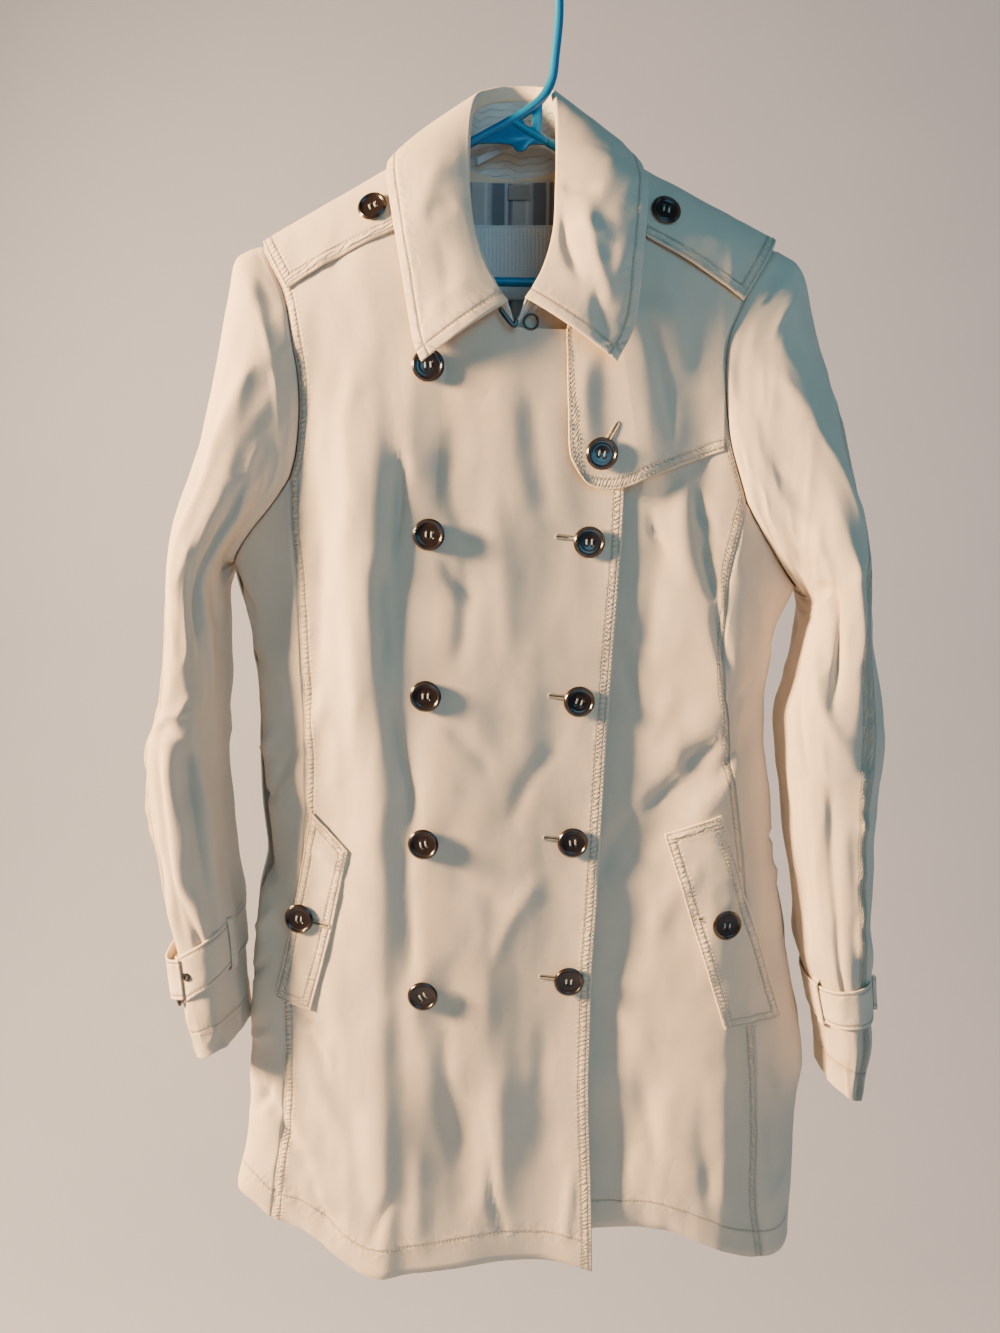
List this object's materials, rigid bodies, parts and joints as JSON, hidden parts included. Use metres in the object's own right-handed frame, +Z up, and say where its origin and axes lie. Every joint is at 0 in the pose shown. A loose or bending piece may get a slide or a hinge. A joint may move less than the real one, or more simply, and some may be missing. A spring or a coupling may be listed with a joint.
{
  "type": "trench coat on a hanger",
  "caption": "Double-breasted trench coat with storm flap, shoulder straps, welt pockets and cuff straps, buttoned and hanging on a tubular hanger.",
  "frame": {"origin": "underside of the crown of the hanger's hook, where it hangs on a rail", "axes": "+Z up along the height, +X to the right of someone who faces the coat's front, -Y towards that person"},
  "size_m": [0.6163, 0.1133, 1.0872],
  "materials": {
    "cloth": "tightly woven cotton gabardine, matt with a slight sheen",
    "stand": "the same cloth seen in shade, quilted with wavy rows of stitches",
    "lining": "smooth woven lining in greys",
    "label": "woven twill, left bare",
    "size_tab": "ribbed woven tape",
    "button": "polished, with a raised rim",
    "metal": "dark lacquer, shiny",
    "plastic": "moulded, glossy"
  },
  "bodies": {
    "root": {"front_left_lap": "cloth", "front_right_under": "cloth", "side_front_left": "cloth", "side_front_right": "cloth", "back": "cloth", "sleeve_left": "cloth", "sleeve_right": "cloth", "storm_flap": "cloth", "shoulder_strap_left": "cloth", "shoulder_strap_right": "cloth", "pocket_welt_left": "cloth", "pocket_welt_right": "cloth", "back_lining": "lining", "neck_label": "label", "size_tab": "size_tab", "collar_fall": "cloth", "collar_stand": "stand", "button_left_1": "button", "button_left_2": "button", "button_left_3": "button", "button_left_4": "button", "button_left_5": "button", "button_right_1": "button", "button_right_2": "button", "button_right_3": "button", "button_right_4": "button", "button_right_5": "button", "button_shoulder_left": "button", "button_shoulder_right": "button", "button_pocket_left": "button", "button_pocket_right": "button", "cuff_strap_left": "cloth", "cuff_strap_right": "cloth", "cuff_keeper_left": "cloth", "cuff_keeper_right": "cloth", "cuff_strap_end_left": "cloth", "cuff_strap_end_right": "cloth", "cuff_buckle_left": "metal", "cuff_buckle_right": "metal", "cuff_eyelet_left": "metal", "hanger": "plastic", "hanging_loop": "stand", "collar_hook": "metal", "collar_eye": "metal"}
  },
  "joints": []
}
